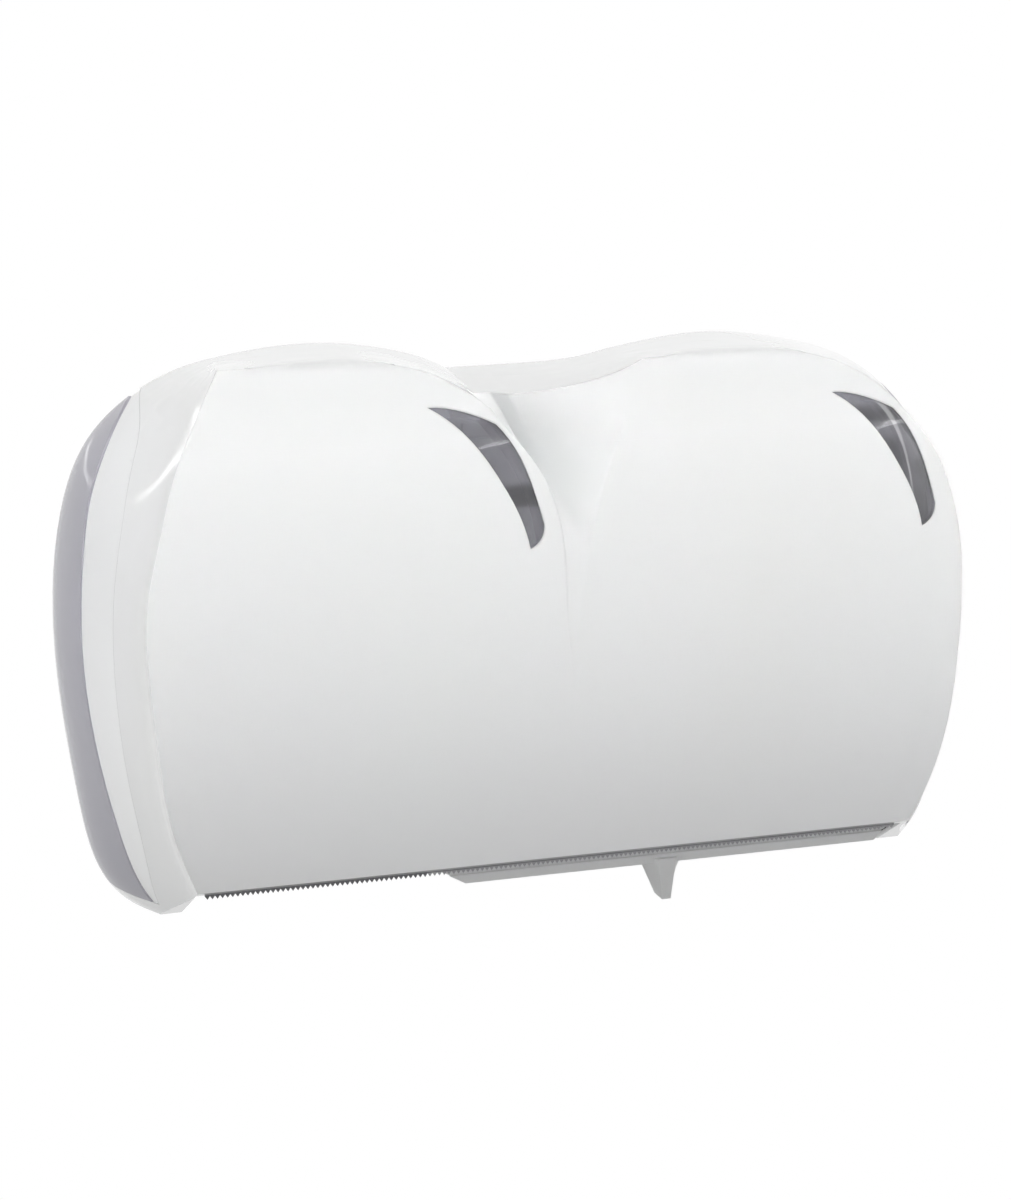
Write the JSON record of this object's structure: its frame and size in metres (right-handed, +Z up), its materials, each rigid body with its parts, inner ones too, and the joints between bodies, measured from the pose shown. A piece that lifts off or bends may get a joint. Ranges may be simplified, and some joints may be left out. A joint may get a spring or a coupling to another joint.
{
  "type": "double roll toilet paper dispenser",
  "caption": "Wall-mounted dispenser for small jumbo toilet rolls side by side, hinged glossy cover with smoked sight windows, serrated edge and sliding roll selector.",
  "frame": {"origin": "centre of the wall screw pattern, on the wall face of the back plate", "axes": "+Z up, the front faces -Y, +X to the right seen from the front"},
  "size_m": [0.5017, 0.119, 0.286],
  "materials": {
    "white_gloss": "glossy moulded ABS",
    "smoked_clear": "smoked transparent SAN",
    "smoked_dark": "dark smoked polycarbonate",
    "light_grey": "satin moulded ABS",
    "grey_plastic": "satin moulded acetal",
    "white_plate": "satin moulded ABS",
    "dark_plastic": "satin moulded acetal",
    "steel": "zinc plated",
    "spring_steel": "bare spring strip"
  },
  "bodies": {
    "chassis": {"wall_plate": "white_plate", "spindle_post_left": "white_plate", "spindle_post_right": "white_plate", "post_screws": "steel", "end_cap_left": "grey_plastic", "end_cap_right": "grey_plastic", "brake_spring_left": "spring_steel", "brake_spring_right": "spring_steel", "hinge_pin_left": "steel", "hinge_pin_right": "steel", "lock_keeper": "steel", "keeper_screws": "steel"},
    "cover": {"cover_skin": "white_gloss", "cover_shell": "smoked_clear", "tear_edge": "smoked_dark", "slider_rail": "grey_plastic", "lock_barrel": "dark_plastic", "barrel_screws": "steel"},
    "slider": {"selector_bar": "light_grey", "glide_shoes": "dark_plastic"},
    "hub_left": {"core_hub_left": "white_plate"},
    "hub_right": {"core_hub_right": "white_plate"},
    "lock": {"lock_plug": "dark_plastic", "lock_cam": "steel", "cam_screw": "steel"}
  },
  "joints": [
    {"name": "cover_hinge", "type": "hinge", "parent": "chassis", "child": "cover", "pos_m": [0, -0.02, -0.126], "axis": [1, 0, 0], "range_deg": [0, 90]},
    {"name": "slider_travel", "type": "slide", "parent": "cover", "child": "slider", "axis": [1, 0, 0], "range_m": [-0.112, 0]},
    {"name": "hub_left_spin", "type": "hinge", "parent": "chassis", "child": "hub_left", "pos_m": [-0.106, -0.05, 0.04], "axis": [0, -1, 0], "continuous": true},
    {"name": "hub_right_spin", "type": "hinge", "parent": "chassis", "child": "hub_right", "pos_m": [0.106, -0.05, 0.04], "axis": [0, -1, 0], "continuous": true},
    {"name": "lock_turn", "type": "hinge", "parent": "cover", "child": "lock", "pos_m": [0, -0.04, 0.1], "axis": [0, 0, -1], "range_deg": [0, 90]}
  ]
}
